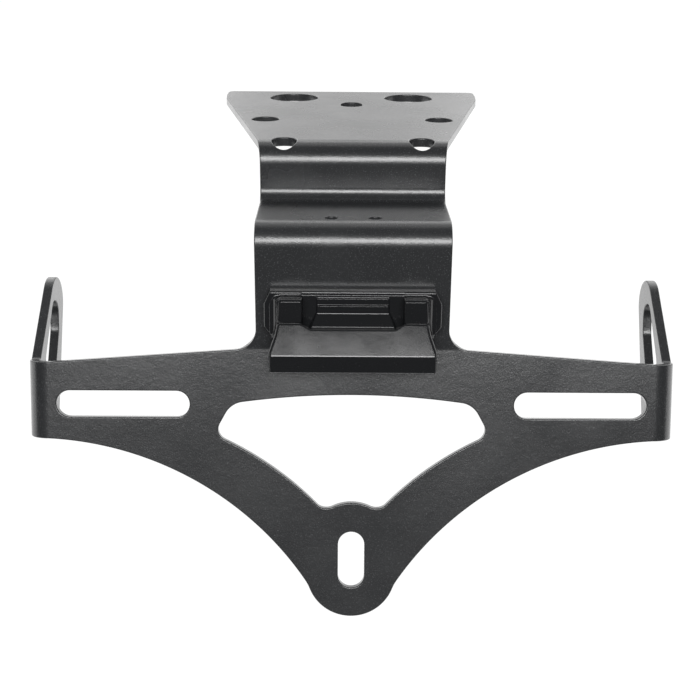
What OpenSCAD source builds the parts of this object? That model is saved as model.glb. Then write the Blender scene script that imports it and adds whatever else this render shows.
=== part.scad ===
// Tail tidy: a number plate carrier for the back of a motorcycle.
// One folded steel sheet carries the number plate, two indicator ears
// and a small lamp. Lengths are in millimetres.
// X points right, Y points forward along the motorcycle and Z points up.
// The origin is the middle of the two tail bolt holes, on the upper face
// of the top plate.

/* [Sheet] */
// thickness of the folded steel sheet
sheet_t = 2.5; // [1.5:0.1:4]
// inside radius of every full fold
bend_r = 3.5; // [2:0.1:5]

/* [Top plate] */
// length of the top plate from the riser face to its far edge
top_len = 93.2; // [70:0.1:130]
// width of the top plate at its far edge
far_w = 83.2; // [62:0.1:120]
// length of the parallel part behind the far edge
far_straight = 11; // [8:0.1:24]
// corner radius at the far edge
far_corner_r = 2.2; // [1:0.1:8]
// width of the top plate where the first fold starts
neck_w = 52.6; // [51:0.1:60]
// width of the strip that forms the riser, the step and the stem
strip_w = 50.6; // [46:0.1:56]

/* [Holes in the top plate] */
// diameter of the two tail bolt holes
tail_bolt_d = 8.2; // [5:0.1:10]
// spacing of the two tail bolt holes
tail_bolt_pitch = 51.8; // [44:0.1:56]
// distance of the tail bolt holes from the riser face
tail_bolt_y = 38; // [28:0.1:46]
// diameter of the two large cable holes
cable_hole_d = 15.7; // [8:0.1:20]
// spacing of the two large cable holes
cable_hole_pitch = 37.7; // [26:0.1:50]
// distance of the large cable holes from the far edge
cable_hole_edge = 13.4; // [12:0.1:24]
// width of the short slot in the middle
mid_slot_w = 6.8; // [4:0.1:9]
// length of the short slot in the middle, along the motorcycle
mid_slot_len = 8.8; // [7:0.1:16]
// distance of the short slot from the far edge
mid_slot_edge = 27.1; // [22:0.1:40]
// diameter of the two holes that run into the first fold
fold_hole_d = 6.9; // [4:0.1:9]
// spacing of the two holes that run into the first fold
fold_hole_pitch = 37.7; // [24:0.1:42]
// distance of those holes from the riser face
fold_hole_y = 5.1; // [4.6:0.1:8]

/* [Riser, step and stem] */
// height of the riser, from the top plate down to the step
riser_h = 15.5; // [12.5:0.1:30]
// length of the step, from the riser face to the stem face
step_len = 27.8; // [20:0.1:50]
// diameter of the two cable tie holes in the step
tie_hole_d = 3.2; // [2:0.1:5]
// spacing of the two cable tie holes
tie_hole_pitch = 11.4; // [8:0.1:30]
// distance of the cable tie holes from the stem face
tie_hole_y = 8.2; // [8:0.1:14]
// height of the stem, from the step down to the shallow fold
stem_h = 33.1; // [32:0.1:60]

/* [Number plate part] */
// angle by which the number plate faces upward
tilt = 13.8; // [2:0.1:25]
// width across the outer faces of the two ears
wing_span = 171.6; // [160:0.1:220]
// drop of each wing's upper edge from the shallow fold to the ear
wing_drop = 4; // [3:0.1:8]
// height of the lower edge of the wing below the shallow fold
wing_low = 24.4; // [22:0.1:32]
// radius in the corner between the stem and each wing
stem_fillet_r = 6; // [1:0.1:8]
// radius of the curved lower edge of each arm
arm_r = 86.5; // [80:0.1:120]
// width of each arm, measured square to it
arm_w = 15.7; // [10:0.1:18]
// length of the two long number plate slots
plate_slot_len = 35; // [16:0.1:44]
// width of the number plate slots
plate_slot_w = 7; // [5:0.1:8.5]
// distance of each long slot's middle from the middle of the carrier
plate_slot_x = 60.3; // [56:0.1:64]
// depth of the long slots' centre line below the shallow fold
plate_slot_low = 15; // [13:0.1:17]
// depth of the window's upper edge below the shallow fold
window_top = 12.4; // [10:0.1:16]
// width of the window along its upper edge
window_w = 63.8; // [48:0.1:70]
// radius of the window's two upper corners
window_top_r = 6; // [1:0.1:9]
// radius of the window's two lower corners
window_r = 3; // [0.5:0.1:4]
// outside radius of the lug in the middle
lug_r = 11.9; // [9:0.1:16]
// depth of the lug's upper centre below the shallow fold
lug_top = 53.3; // [49:0.1:57]
// length of the upright slot in the lug
lug_slot_len = 15.3; // [9:0.1:20]

/* [Ears] */
// distance of the ear's end centre behind the wing face
ear_reach = 27.5; // [22:0.1:34]
// height of the ear's end centre above the shallow fold
ear_rise = 9.4; // [4:0.1:14]
// slope of the ear's middle line, measured from the line square to the wing
ear_angle = 63.3; // [56:0.1:72]
// angle by which each edge of the ear leaves its middle line
ear_taper = 13; // [0:0.5:16]
// width of the ear at its rounded end
ear_w = 14.6; // [13:0.1:20]
// height of the ear slot's upper edge above the shallow fold
ear_slot_top = 10.2; // [7:0.1:11]
// depth of the ear slot's lower edge below the shallow fold
ear_slot_low = 12.7; // [8:0.1:14]
// distance of the ear slot's upright back edge behind the wing face
ear_slot_back = 28.6; // [27:0.1:29.4]
// height at which the back edge starts to slope forward
ear_slot_turn = 1.6; // [-2:0.1:4]
// slope of the lower part of the back edge
ear_slot_back_slope = 66; // [60:0.1:74]
// distance of the slot's upper front corner behind the wing face
ear_slot_front = 22.5; // [20:0.1:24]
// slope of the slot's front edge
ear_slot_front_slope = 57; // [52:0.1:62]
// distance between the wing face and the slot's nearest point
ear_slot_near = 13; // [11:0.1:15]
// corner radius of the ear slot
ear_slot_r = 3.8; // [2:0.1:3.9]
// radius of the lower corner of the ear
ear_corner_r = 4; // [1:0.1:6]

/* [Lamp] */
// height of the lamp's top edge below the step
lamp_drop = 16.3; // [14.8:0.1:18]
// width of the lamp hood at its lower edge
hood_w = 42.5; // [38:0.1:46]
// how far the hood stands out from the stem
hood_out = 11.8; // [11.4:0.1:18]
// height of the whole lamp
lamp_h = 19.5; // [18.4:0.1:24]
// thickness of the rubber gasket behind the lamp
gasket_t = 0.8; // [0.5:0.1:2]
// wall thickness of the hood
hood_wall = 1.6; // [1.2:0.1:2.2]
// diameter of the two lamp studs
stud_d = 4; // [3:0.5:5]
// spacing of the two lamp studs
stud_pitch = 30.8; // [26:0.1:33]
// clearance of the stud holes in the stem
stud_clear = 0.3; // [0.1:0.1:0.6]
// diameter of the rubber cable gland where it passes through the stem
gland_d = 7.6; // [6:0.1:9]
// bore of the cable gland
gland_bore = 3.2; // [2:0.1:4]

/* [Hidden] */
$fn = 72;
eps = 0.01;
outer_r = bend_r + sheet_t;
origin_y = step_len + tail_bolt_y;
strip_half = strip_w / 2;
wing_half = wing_span / 2;
fold_z = riser_h + stem_h;
// half of the length that the shallow fold takes out of the flat parts
setback = 0.3;
// depth of the wing's upper edge next to the stem, and where it starts
wing_root = 0.5;
wing_root_x = strip_half + 6;
// end of the flat part of each wing, and the slope of its upper edge
wing_flat = wing_half - outer_r;
wing_slope = (wing_drop - wing_root) / (wing_flat - wing_root_x);
// middle of the ear's rounded end, and where its front edge meets the wing
ear_c = [ear_reach, ear_rise];
ear_front = ear_angle - ear_taper;
ear_root = ear_reach - ear_w / 2 * sin(ear_front)
  - (ear_rise + ear_w / 2 * cos(ear_front) + wing_drop) / tan(ear_front);
// how far inside the ear's outer face the middle of the arms' lower curve is
arm_in = 1.65;
arm_c = [wing_half - arm_in, -wing_low - sqrt(arm_r * arm_r - (outer_r - arm_in) * (outer_r - arm_in))];
// direction in which the lower curve is moved to get the window's edge
arm_shift = 31.7;
inner_c = arm_c + [-arm_w * cos(arm_shift), arm_w * sin(arm_shift)];
// depth of the lug's lower centre below the shallow fold
lug_low = lug_top + lug_slot_len - plate_slot_w - 1;
lug_slot_mid = (lug_low + 0.5) - (lug_slot_len - plate_slot_w) / 2;
// lamp sizes, in a frame that starts at the top of the lamp on the stem face
lamp_z = riser_h + lamp_drop;
back_y = -gasket_t;
flange_y = -4;
post_y = -7.8;
post_in = 13;
post_out = 18.8;
post_low = -7.2;
brow_low = -(lamp_h - 4.8);
hood_half = hood_w / 2;
brow_half = hood_half - 1.4;
stud_z = -5.7;
board_top = -11.2;
board_t = 1.2;
board_half = 17;
board_y0 = -8.1;
board_y1 = -3;
ledge_z = -(lamp_h - 2.6);
lens_t = 1.8;
lens_half = hood_half - hood_wall - 0.2;
board_mid = (board_y0 + board_y1) / 2;
tray_t = 1;
led_x = 10;
stud_head_d = 6.4;
stud_head_t = 1.8;
stud_head_y = -3.6;
stud_end = 9.5;
washer_t = 0.8;
spring_t = 1;
nut_t = 3.2;
gland_flange_d = 10.6;
gland_flange_t = 1.5;
board_screw_x = 15;

// puts the children in the part's frame; inside, Y starts on the stem face
module stem_frame() {
  translate([0, -origin_y, 0]) children();
}

// puts the children in the lamp's frame
module lamp_frame() {
  stem_frame() translate([0, 0, -lamp_z]) children();
}

// puts the children in the tilted number plate part's frame
module plate_frame() {
  stem_frame() translate([0, 0, -fold_z]) rotate([-tilt, 0, 0]) children();
}

// extrudes a shape drawn in Y and Z along X, centred
module along_x(width) {
  rotate([90, 0, 90]) linear_extrude(width, center = true) children();
}

// a ring sector of sheet with its axis along X
module fold_x(width, inner, start, sweep) {
  rotate([90, 0, 90]) rotate([0, 0, start])
    rotate_extrude(angle = sweep) translate([inner, -width / 2]) square([sheet_t, width]);
}

// a cutter for a slot through the sheet, along X when the angle is zero
module slot_cut(length, width, depth, angle = 0) {
  run = (length - width) / 2;
  rotate([0, 0, angle]) {
    for (side = [-1, 1]) translate([side * run, 0, 0]) cylinder(d = width, h = depth, center = true);
    cube([2 * run, width, depth], center = true);
  }
}

// outline of the top plate seen from above, starting at the riser face
module top_outline() {
  y0 = step_len;
  y1 = step_len + outer_r;
  y2 = step_len + top_len - far_straight;
  y3 = step_len + top_len;
  offset(r = far_corner_r) offset(delta = -far_corner_r)
    polygon([
      [-strip_half, y0 - 8], [strip_half, y0 - 8], [strip_half, y0], [neck_w / 2, y1],
      [far_w / 2 - 0.5, y2 - 4], [far_w / 2, y2 + 3], [far_w / 2, y3],
      [-far_w / 2, y3], [-far_w / 2, y2 + 3], [-far_w / 2 + 0.5, y2 - 4],
      [-neck_w / 2, y1], [-strip_half, y0]
    ]);
}

// points of a curve below each arm, for the arc with the given middle
function arc_pts(c, x_from, x_to, n) =
  [
    for (i = [0:n])
      let (x = x_from + (x_to - x_from) * i / n, d = c[0] - x)
        [x, c[1] + sqrt(arm_r * arm_r - d * d)]
  ];

// height of the wing's upper edge at a given distance from the middle
function wing_y(x) = -wing_root - wing_slope * (x - wing_root_x);

// half of the stem's width in its lower corner, at a given height
function corner_x(y) =
  let (
    r = stem_fillet_r,
    mid = wing_y(strip_half + r) + r * sqrt(1 + wing_slope * wing_slope),
    d = min(0, y - mid)
  )
  strip_half + r - sqrt(r * r - d * d);

// the same points on the left-hand side, in the opposite order
function mirror_pts(p) = [for (i = [len(p) - 1:-1:0]) [-p[i][0], p[i][1]]];

// outline of the wings, arms and lower stem; Y is up from the shallow fold
module carrier_outline() {
  low = arc_pts(arm_c, wing_flat, lug_r * 0.9, 60);
  half = concat([[strip_half, wing_y(strip_half)], [wing_flat, wing_y(wing_flat)]], low);
  difference() {
    union() {
      offset(r = -stem_fillet_r) offset(delta = stem_fillet_r) {
        polygon(concat(half, mirror_pts(half)));
        translate([-strip_half, -10]) square([strip_w, stem_h - outer_r + 10 - 2]);
      }
    }
    window_outline();
  }
}

// outline of the window between the arms
module window_outline() {
  n = 24;
  top = [for (i = [0:n]) let (x = -window_w / 2 + window_w * i / n) [x, -window_top - x * x / 420]];
  side_x = window_w / 2 + 4.6;
  low = arc_pts(inner_c, side_x, 0, 40);
  intersection() {
    offset(r = window_r) offset(delta = -window_r)
      polygon(concat(top, low, [for (i = [len(low) - 2:-1:0]) [-low[i][0], low[i][1]]]));
    // a hair larger, so that only its two upper corners count
    offset(r = window_top_r) offset(delta = eps - window_top_r)
      polygon(concat(top, [window_side(60), window_side(60) - [2 * window_side(60)[0], 0]]));
  }
}

// point on the line of the window's right-hand side, at a given depth
function window_side(depth) =
  let (
    y0 = -window_top - window_w * window_w / 1680,
    low_x = window_w / 2 + 4.6,
    low_y = inner_c[1] + sqrt(arm_r * arm_r - (inner_c[0] - low_x) * (inner_c[0] - low_x))
  )
  [window_w / 2 + (depth + y0) / (low_y - y0) * -4.6, -depth];

// four corners of the part between two rounds of a tapered shape that starts
// with radius r about c and runs down its middle line
function taper_pts(c, r, angle, taper, run) =
  let (
    end_c = c - [cos(angle), sin(angle)] * run,
    end_r = r + run * sin(taper),
    front = [-sin(angle - taper), cos(angle - taper)],
    back = [sin(angle + taper), -cos(angle + taper)]
  )
  [c + front * r, end_c + front * end_r, end_c + back * end_r, c + back * r];

// outline of an ear, seen from the side; X is behind the wing face, Y is up
module ear_outline() {
  intersection() {
    offset(r = ear_corner_r) offset(delta = -ear_corner_r) union() {
      translate([-8, -wing_low]) square([8 + max(outer_r, ear_root), wing_low - wing_drop]);
      intersection() {
        polygon(taper_pts(ear_c, ear_w / 2, ear_angle, ear_taper, 70));
        translate([-8, -wing_low]) square([60, wing_low + 30]);
      }
      translate(ear_c) circle(d = ear_w);
    }
    translate([0, -wing_low - 1]) square([80, wing_low + 60]);
  }
}

// one ear with its fold, on the right-hand side
module ear() {
  difference() {
    intersection() {
      union() {
        translate([wing_half - sheet_t, outer_r, -wing_low - 1]) cube([sheet_t, 80, wing_low + 40]);
        translate([wing_flat, outer_r, -wing_low - 1]) rotate([0, 0, -90])
          rotate_extrude(angle = 90) translate([bend_r, 0]) square([sheet_t, wing_low + 40]);
      }
      rotate([90, 0, 90]) linear_extrude(wing_half + 5) ear_outline();
    }
    translate([wing_half, 0, 0]) along_x(12) ear_slot_outline();
  }
}

// outline of the slot in an ear, seen from the side like the ear
module ear_slot_outline() {
  near_y = ear_slot_top - (ear_slot_front - ear_slot_near) * tan(ear_slot_front_slope);
  low_x = ear_slot_back - (ear_slot_turn + ear_slot_low) / tan(ear_slot_back_slope);
  offset(r = ear_slot_r) offset(delta = -ear_slot_r) polygon([
    [ear_slot_near, near_y], [ear_slot_front, ear_slot_top], [ear_slot_back, ear_slot_top],
    [ear_slot_back, ear_slot_turn], [low_x, -ear_slot_low], [ear_slot_near, -ear_slot_low]
  ]);
}

// the whole bracket, one folded and powder coated steel sheet
module bracket() {
  color([0.07, 0.07, 0.075]) union() {
    top_part();
    lower_part();
  }
}

module top_part() {
  stem_frame() difference() {
    union() {
      intersection() {
        union() {
          translate([-far_w, step_len + outer_r, -sheet_t]) cube([2 * far_w, top_len, sheet_t]);
          translate([0, step_len + outer_r, -outer_r]) fold_x(2 * far_w, bend_r, 90, 90);
        }
        translate([0, 0, -outer_r - 1]) linear_extrude(outer_r + 2) top_outline();
      }
      translate([-strip_half, step_len, -riser_h + bend_r])
        cube([strip_w, sheet_t, riser_h - bend_r - outer_r]);
      translate([0, step_len - bend_r, -riser_h + bend_r]) fold_x(strip_w, bend_r, -90, 90);
      translate([-strip_half, outer_r, -riser_h - sheet_t])
        cube([strip_w, step_len - bend_r - outer_r, sheet_t]);
      translate([0, outer_r, -riser_h - outer_r]) fold_x(strip_w, bend_r, 90, 90);
    }
    for (side = [-1, 1]) {
      translate([side * tail_bolt_pitch / 2, step_len + tail_bolt_y, -sheet_t / 2])
        cylinder(d = tail_bolt_d, h = sheet_t + 2, center = true);
      translate([side * cable_hole_pitch / 2, step_len + top_len - cable_hole_edge, -sheet_t / 2])
        cylinder(d = cable_hole_d, h = sheet_t + 2, center = true);
      translate([side * fold_hole_pitch / 2, step_len + fold_hole_y, -outer_r + 1])
        cylinder(d = fold_hole_d, h = outer_r + 4);
      translate([side * tie_hole_pitch / 2, tie_hole_y, -riser_h - sheet_t / 2])
        cylinder(d = tie_hole_d, h = sheet_t + 2, center = true);
    }
    translate([0, step_len + top_len - mid_slot_edge, -sheet_t / 2])
      slot_cut(mid_slot_len, mid_slot_w, sheet_t + 2, 90);
  }
}

module lower_part() {
  stem_frame() difference() {
    union() {
      translate([-strip_half, 0, -riser_h - outer_r - 2]) cube([strip_w, sheet_t, 2]);
      intersection() {
        translate([0, sheet_t, -fold_z]) rotate([90, 0, 0]) linear_extrude(sheet_t) carrier_outline();
        translate([-wing_span, -1, -fold_z + setback])
          cube([2 * wing_span, sheet_t + 2, stem_h - outer_r - setback]);
      }
      shallow_fold();
    }
    for (side = [-1, 1])
      translate([side * stud_pitch / 2, -1, -lamp_z + stud_z]) rotate([-90, 0, 0])
        cylinder(d = stud_d + stud_clear, h = sheet_t + 2);
    translate([0, -1, -lamp_z + stud_z]) rotate([-90, 0, 0]) cylinder(d = gland_d, h = sheet_t + 2);
  }
  plate_frame() difference() {
    union() {
      intersection() {
        translate([0, sheet_t, 0]) rotate([90, 0, 0]) linear_extrude(sheet_t) carrier_outline();
        translate([-wing_span, -1, -120]) cube([2 * wing_span, sheet_t + 2, 120 - setback]);
      }
      lug();
      ear();
      mirror([1, 0, 0]) ear();
    }
    for (side = [-1, 1])
      translate([side * plate_slot_x, sheet_t / 2, -plate_slot_low]) rotate([90, 0, 0])
        slot_cut(plate_slot_len, plate_slot_w, sheet_t + 2);
    translate([0, sheet_t / 2, -lug_slot_mid]) rotate([90, 0, 0])
      slot_cut(lug_slot_len, plate_slot_w, sheet_t + 2, 90);
  }
}

// the sheet between the upright stem and the tilted part, a hair narrower
// than both so that its side edges never lie on theirs
module shallow_fold() {
  upper = corner_x(setback + 0.05) - 0.05;
  lower = corner_x(-setback) - 0.05;
  hull() {
    translate([-upper, 0, -fold_z + setback]) cube([2 * upper, sheet_t, 0.05]);
    translate([0, 0, -fold_z]) rotate([-tilt, 0, 0])
      translate([-lower, 0, -setback - 0.05]) cube([2 * lower, sheet_t, 0.05]);
  }
}

// the lug in the middle, two rounds and the bar between them
module lug() {
  for (z = [-lug_top, -lug_low])
    translate([0, sheet_t, z]) rotate([90, 0, 0]) cylinder(r = lug_r, h = sheet_t);
  translate([-lug_r, 0, -lug_low]) cube([2 * lug_r, sheet_t, lug_low - lug_top]);
}

// outline of the lamp's flange, seen from the front
module flange_outline(grow = 0) {
  offset(r = 1.2) offset(delta = -1.2 + grow) polygon([
    [-21.2, 0], [21.2, 0], [22.8, -3.4], [22.8, -9.6], [20.8, -12.6], [20.8, -15],
    [-20.8, -15], [-20.8, -12.6], [-22.8, -9.6], [-22.8, -3.4]
  ]);
}

// the rubber gasket between the lamp and the stem
module lamp_gasket() {
  color([0.05, 0.05, 0.05]) lamp_frame() difference() {
    rotate([90, 0, 0]) linear_extrude(gasket_t) flange_outline(-0.3);
    for (side = [-1, 1])
      translate([side * stud_pitch / 2, -gasket_t - 1, stud_z]) rotate([-90, 0, 0])
        cylinder(d = stud_d, h = gasket_t + 2);
    translate([0, -gasket_t - 1, stud_z]) rotate([-90, 0, 0]) cylinder(d = gland_d, h = gasket_t + 2);
  }
}

// side shape of the hood, drawn in Y and Z
module hood_profile() {
  polygon([
    [back_y, -1], [post_y + 0.45, -1], [post_y, -1.5],
    [post_y, post_low + 0.3], [post_y + 0.35, post_low], [post_y - 0.15, post_low - 0.35],
    [-hood_out + 0.12, brow_low + 0.2], [-hood_out, brow_low - 0.1], [-hood_out, -lamp_h + 0.4],
    [-hood_out + 0.4, -lamp_h], [back_y - 1.6, -lamp_h], [back_y, -lamp_h + 1.6]
  ]);
}

// front shape of the hood, drawn in X and Z
module hood_front() {
  offset(r = 1.3) offset(delta = -1.3) polygon([
    [-post_out, -0.6], [post_out, -0.6], [post_out + 0.4, post_low],
    [brow_half, post_low - 2.8], [hood_half, brow_low + 1], [hood_half, -lamp_h],
    [-hood_half, -lamp_h], [-hood_half, brow_low + 1], [-brow_half, post_low - 2.8],
    [-post_out - 0.4, post_low]
  ]);
}

// side shape of the space inside the hood, drawn in Y and Z
module chamber_profile(grow) {
  front = -hood_out + hood_wall + grow;
  polygon([
    [board_y0 - 0.1 + grow, board_top], [front, brow_low - 0.6], [front, ledge_z],
    [back_y - 2.2 - grow, ledge_z], [back_y - 2.2 - grow, board_top]
  ]);
}

// the black plastic housing of the lamp with its hood
module lamp_housing() {
  color([0.03, 0.03, 0.035]) lamp_frame() difference() {
    union() {
      translate([0, back_y, 0]) rotate([90, 0, 0]) linear_extrude(-flange_y + back_y) flange_outline();
      intersection() {
        along_x(80) hood_profile();
        rotate([90, 0, 0]) linear_extrude(40) hood_front();
      }
      intersection() {
        for (side = [-1, 1]) translate([0, 0, -11.5]) linear_extrude(11)
          polygon([
            [side * (post_out - 1), flange_y + 1], [side * 21.6, flange_y + 1], [side * 21.6, flange_y],
            [side * 20.5, -4.3], [side * 19.8, -4.9], [side * 19.4, -5.8], [side * 19.3, -7.2],
            [side * (post_out - 1), -7.2]
          ]);
        rotate([90, 0, 0]) linear_extrude(30) offset(r = 2.4) offset(delta = -2.4)
          translate([-21.2, -14]) square([42.4, 12.8]);
      }
    }
    difference() {
      translate([-post_in, -40, -9.7]) cube([2 * post_in, 40 + flange_y, 12]);
      centre_block();
      hood_rim();
    }
    along_x(2 * (hood_half - hood_wall - 1.2)) chamber_profile(0);
    translate([-lens_half, -hood_out + hood_wall, -lamp_h - 1])
      cube([2 * lens_half, hood_out - hood_wall - 2.4, lamp_h + 1 + ledge_z]);
    for (side = [-1, 1]) {
      translate([side * stud_pitch / 2, stud_head_y, stud_z]) rotate([-90, 0, 0]) {
        cylinder(d = stud_head_d, h = stud_head_t);
        cylinder(d = stud_d, h = 10);
      }
      translate([side * board_screw_x, board_mid, board_top - 1]) cylinder(d = 2, h = 4);
    }
    translate([0, flange_y + 1, stud_z]) rotate([-90, 0, 0]) cylinder(d = gland_d, h = 10);
    translate([0, flange_y + 1, board_top - 0.5]) cylinder(d = 2.6, h = 0.5 + stud_z - board_top);
  }
}

// the sloping block in the middle of the pocket above the hood
module centre_block() {
  intersection() {
    along_x(21.6) polygon([
      [flange_y + 1, -1.7], [flange_y - 0.3, -1.7], [flange_y - 0.3, -3.3], [flange_y - 0.9, -3.6],
      [flange_y - 0.9, -5.5], [post_y + 0.2, -8.4], [post_y + 0.2, -12], [flange_y + 1, -12]
    ]);
    rotate([90, 0, 0]) linear_extrude(30) polygon([
      [-9.2, 0], [9.2, 0], [9.2, -5.2], [10.8, -8.6], [10.8, -13],
      [-10.8, -13], [-10.8, -8.6], [-9.2, -5.2]
    ]);
  }
}

// the upper rim of the hood in front of the pocket
module hood_rim() {
  intersection() {
    translate([-30, -30, -12]) cube([60, 30 + post_y + 0.2, 6]);
    rotate([90, 0, 0]) linear_extrude(40) polygon([
      [-20, -7.2], [-13.4, -7.2], [-10.7, -8.6], [10.7, -8.6],
      [13.4, -7.2], [20, -7.2], [20, -13], [-20, -13]
    ]);
  }
}

// the clear lens that closes the hood from below
module lamp_lens() {
  color([0.9, 0.93, 0.95]) lamp_frame()
    translate([-lens_half, -hood_out + hood_wall, ledge_z - lens_t])
      cube([2 * lens_half, hood_out - hood_wall - 2.4, lens_t]);
}

// the white tray that throws the light down through the lens
module led_tray() {
  half = hood_half - hood_wall - 1.2;
  color([0.93, 0.93, 0.92]) lamp_frame() difference() {
    intersection() {
      along_x(2 * half) chamber_profile(0);
      translate([-half, -30, ledge_z]) cube([2 * half, 40, -ledge_z + board_top - board_t]);
    }
    hull() {
      translate([-half + 1, board_y0 + 0.8, board_top - board_t - tray_t - eps])
        cube([2 * half - 2, board_y1 - board_y0 - 1.6, eps]);
      translate([-half + 0.8, -hood_out + hood_wall + 0.8, ledge_z - 1])
        cube([2 * half - 1.6, hood_out - hood_wall - 3 - gasket_t, eps]);
    }
    for (x = [-led_x, 0, led_x])
      translate([x, board_mid, board_top - board_t]) cube([4, 3.4, 4], center = true);
    for (side = [-1, 1])
      translate([side * board_screw_x, board_mid, ledge_z]) cylinder(d = 4, h = 8);
  }
}

// the circuit board under the roof of the lamp
module led_board() {
  color([0.1, 0.35, 0.2]) lamp_frame() difference() {
    translate([-board_half, board_y0, board_top - board_t])
      cube([2 * board_half, board_y1 - board_y0, board_t]);
    for (side = [-1, 1])
      translate([side * board_screw_x, board_mid, board_top - 3]) cylinder(d = 2.2, h = 6);
  }
}

module led(x) {
  color([1, 0.97, 0.8]) lamp_frame()
    translate([x - 1.75, board_mid - 1.4, board_top - board_t - 1.3]) cube([3.5, 2.8, 1.3]);
}

module led_left() {
  led(-led_x);
}

module led_middle() {
  led(0);
}

module led_right() {
  led(led_x);
}

// a small screw that holds the board up against the roof of the lamp
module board_screw(side) {
  color([0.75, 0.75, 0.77]) lamp_frame() translate([side * board_screw_x, board_mid, board_top - board_t]) {
    cylinder(d = 2, h = board_t + 2.8);
    difference() {
      translate([0, 0, -1.1]) cylinder(d = 3.6, h = 1.1);
      translate([0, 0, -1.2]) cube([2.2, 0.5, 1.2], center = true);
      translate([0, 0, -1.2]) cube([0.5, 2.2, 1.2], center = true);
    }
  }
}

module board_screw_left() {
  board_screw(-1);
}

module board_screw_right() {
  board_screw(1);
}

// a threaded stud with its head moulded into the lamp
module stud(side) {
  color([0.78, 0.78, 0.8]) lamp_frame()
  translate([side * stud_pitch / 2, stud_head_y, stud_z]) rotate([-90, 0, 0]) {
    cylinder(d = stud_head_d, h = stud_head_t);
    cylinder(d = stud_d, h = stud_end - stud_head_y - 0.6);
    translate([0, 0, stud_end - stud_head_y - 0.6]) cylinder(d1 = stud_d, d2 = stud_d - 1.2, h = 0.6);
  }
}

module stud_left() {
  stud(-1);
}

module stud_right() {
  stud(1);
}

// a ring on a stud, starting at the given distance behind the stem face
module ring(side, y, outside, inside, thick) {
  lamp_frame() translate([side * stud_pitch / 2, y, stud_z]) rotate([-90, 0, 0]) difference() {
    cylinder(d = outside, h = thick);
    translate([0, 0, -1]) cylinder(d = inside, h = thick + 2);
  }
}

module washer_left() {
  color([0.8, 0.8, 0.82]) ring(-1, sheet_t, stud_d * 2.25, stud_d + 0.3, washer_t);
}

module washer_right() {
  color([0.8, 0.8, 0.82]) ring(1, sheet_t, stud_d * 2.25, stud_d + 0.3, washer_t);
}

// a split spring washer, drawn as it is when the nut is tight
module spring_washer(side) {
  color([0.7, 0.7, 0.72]) difference() {
    ring(side, sheet_t + washer_t, stud_d * 1.75, stud_d + 0.2, spring_t);
    lamp_frame() translate([side * stud_pitch / 2, sheet_t + washer_t - 1, stud_z]) rotate([0, 20, 0])
      translate([0, 0, -0.3]) cube([stud_d * 2, spring_t + 2, 0.6]);
  }
}

module spring_washer_left() {
  spring_washer(-1);
}

module spring_washer_right() {
  spring_washer(1);
}

// a hexagon nut with chamfered corners
module nut(side) {
  color([0.8, 0.8, 0.82]) lamp_frame()
  translate([side * stud_pitch / 2, sheet_t + washer_t + spring_t, stud_z]) rotate([-90, 0, 0])
  difference() {
    intersection() {
      cylinder(d = stud_d * 1.75 / cos(30), h = nut_t, $fn = 6);
      union() {
        translate([0, 0, nut_t / 2]) cylinder(d1 = stud_d * 2.5, d2 = stud_d * 1.7, h = nut_t / 2);
        cylinder(d1 = stud_d * 1.7, d2 = stud_d * 2.5, h = nut_t / 2);
      }
    }
    translate([0, 0, -1]) cylinder(d = stud_d, h = nut_t + 2);
  }
}

module nut_left() {
  nut(-1);
}

module nut_right() {
  nut(1);
}

// the rubber gland that brings the lamp's cable through the stem
module cable_gland() {
  color([0.06, 0.06, 0.06]) lamp_frame()
  translate([0, flange_y + 1, stud_z]) rotate([-90, 0, 0])
  difference() {
    union() {
      cylinder(d = gland_d, h = -flange_y - 1 + sheet_t + 0.5);
      translate([0, 0, -flange_y - 1 + sheet_t]) cylinder(d = gland_flange_d, h = gland_flange_t);
      translate([0, 0, -flange_y - 1 + sheet_t + gland_flange_t]) cylinder(d1 = 7, d2 = 5.4, h = 3);
    }
    translate([0, 0, -1]) cylinder(d = gland_bore, h = 30);
  }
}

bracket();
lamp_gasket();
lamp_housing();
lamp_lens();
led_tray();
led_board();
led_left();
led_middle();
led_right();
board_screw_left();
board_screw_right();
stud_left();
stud_right();
washer_left();
washer_right();
spring_washer_left();
spring_washer_right();
nut_left();
nut_right();
cable_gland();
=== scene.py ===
import math

import bpy
import numpy as np
from mathutils import Matrix, Vector
from mathutils.geometry import delaunay_2d_cdt


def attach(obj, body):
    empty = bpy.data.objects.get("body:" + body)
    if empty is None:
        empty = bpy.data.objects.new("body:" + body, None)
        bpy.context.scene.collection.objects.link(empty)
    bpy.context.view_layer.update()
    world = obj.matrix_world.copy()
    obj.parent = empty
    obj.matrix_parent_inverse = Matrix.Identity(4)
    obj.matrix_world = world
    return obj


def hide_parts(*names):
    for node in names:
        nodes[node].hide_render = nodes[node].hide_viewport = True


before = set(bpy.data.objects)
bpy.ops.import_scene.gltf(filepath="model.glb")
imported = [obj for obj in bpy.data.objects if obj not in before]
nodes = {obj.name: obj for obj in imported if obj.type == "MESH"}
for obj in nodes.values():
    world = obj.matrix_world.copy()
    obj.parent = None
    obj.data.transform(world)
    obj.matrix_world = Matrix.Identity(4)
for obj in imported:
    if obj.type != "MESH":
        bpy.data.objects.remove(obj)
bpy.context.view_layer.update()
scene = bpy.context.scene

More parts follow.
